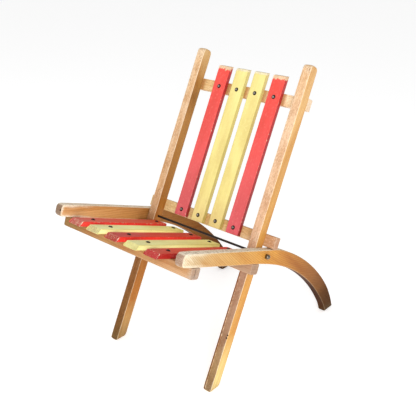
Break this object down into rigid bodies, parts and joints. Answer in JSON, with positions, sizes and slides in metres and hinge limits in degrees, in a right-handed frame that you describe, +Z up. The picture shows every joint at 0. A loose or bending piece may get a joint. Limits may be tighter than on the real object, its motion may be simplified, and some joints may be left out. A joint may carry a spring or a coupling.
{
  "type": "folding slatted chair",
  "caption": "Low folding wooden garden chair: two crossed frames on a steel pivot rod, curved rear legs, painted seat and back slats, folds flat.",
  "frame": {"origin": "centre of the whole chair's footprint box, on the floor it stands on", "axes": "+Z up, +Y to the rear of the chair, +X to its right-hand side as seen from the front with the seat facing -Y"},
  "size_m": [0.442, 0.7004, 0.7615],
  "materials": {
    "varnished_wood": "worn clear varnish, satin, pale on the worn edges",
    "red_paint": "red gloss paint on wood, worn through at ends and edges",
    "yellow_paint": "pale yellow gloss paint on wood, worn through at ends and edges",
    "dark_screw_steel": "dark blued steel, satin",
    "dark_rod_steel": "darkened steel",
    "cap_steel": "bright steel, lightly worn",
    "washer_steel": "plain steel"
  },
  "bodies": {
    "seat_frame": {"left_side_leg": "varnished_wood", "right_side_leg": "varnished_wood", "seat_front_rail": "varnished_wood", "seat_rear_rail": "varnished_wood", "seat_slat_1": "red_paint", "seat_slat_2": "yellow_paint", "seat_slat_3": "red_paint", "seat_slat_4": "yellow_paint", "seat_slat_5": "red_paint", "seat_screws_front": "dark_screw_steel", "seat_screws_rear": "dark_screw_steel", "seat_front_rail_screws": "dark_screw_steel", "seat_rear_rail_screws": "dark_screw_steel", "pivot_rod": "dark_rod_steel", "rod_cap_left": "cap_steel", "rod_cap_right": "cap_steel", "pivot_washer_left": "washer_steel", "pivot_washer_right": "washer_steel"},
    "back_frame": {"left_post": "varnished_wood", "right_post": "varnished_wood", "back_upper_rail": "varnished_wood", "back_lower_rail": "varnished_wood", "back_slat_1": "red_paint", "back_slat_2": "yellow_paint", "back_slat_3": "yellow_paint", "back_slat_4": "red_paint", "back_screws_upper": "dark_screw_steel", "back_screws_lower": "dark_screw_steel", "back_upper_rail_screws": "dark_screw_steel", "back_lower_rail_screws": "dark_screw_steel"}
  },
  "joints": [
    {"name": "back_fold", "type": "hinge", "parent": "seat_frame", "child": "back_frame", "pos_m": [0, -0.03034, 0.3255], "axis": [1, 0, 0], "range_deg": [0, 96.4]}
  ]
}
